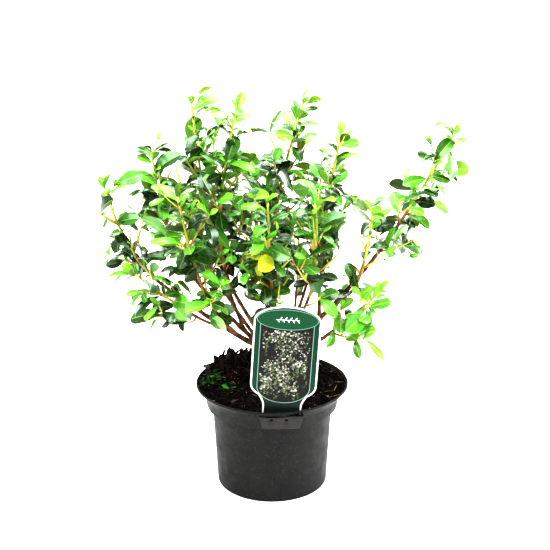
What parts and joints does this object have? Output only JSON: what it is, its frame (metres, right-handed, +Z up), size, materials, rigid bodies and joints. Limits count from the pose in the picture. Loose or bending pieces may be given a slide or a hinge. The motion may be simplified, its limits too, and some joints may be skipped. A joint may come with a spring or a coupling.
{
  "type": "potted iveyi escallonia",
  "caption": "Young evergreen flowering shrub in a round nursery pot: a short forked stem, spreading boughs and upright leafy shoots, with a plant label in the pot's holder.",
  "frame": {"origin": "centre of the pot's flat underside", "axes": "+Z up, +X to the right as seen from the side that the label faces, +Y to the back, away from the label"},
  "size_m": [0.4137, 0.2869, 0.446],
  "materials": {
    "pot_plastic": "semi-matt black",
    "compost": "rough and moist",
    "label_plastic": "printed, smooth",
    "bark": "matt bark",
    "foliage": "glossy leaves"
  },
  "bodies": {
    "root": {"pot": "pot_plastic", "soil": "compost", "label": "label_plastic", "trunk": "bark", "bough_far_left": "bark", "bough_far_right": "bark", "bough_centre": "bark", "bough_upper_right": "bark", "bough_left": "bark", "bough_low_right": "bark", "bough_right": "bark", "bough_centre_front": "bark", "bough_back": "bark", "bough_back_right": "bark", "bough_back_left": "bark", "bough_upper_left": "bark", "bough_left_front": "bark", "bough_low_left": "bark", "bough_right_front": "bark", "bough_right_side": "bark", "bough_low_back": "bark", "foliage_far_left": "foliage", "foliage_left": "foliage", "foliage_upper_left": "foliage", "foliage_centre": "foliage", "foliage_upper_right": "foliage", "foliage_right": "foliage", "foliage_far_right": "foliage", "foliage_right_side": "foliage", "foliage_low_right": "foliage", "foliage_low_left": "foliage", "foliage_left_front": "foliage", "foliage_centre_front": "foliage", "foliage_right_front": "foliage", "foliage_back_left": "foliage", "foliage_back": "foliage", "foliage_back_right": "foliage", "foliage_low_back": "foliage"}
  },
  "joints": []
}
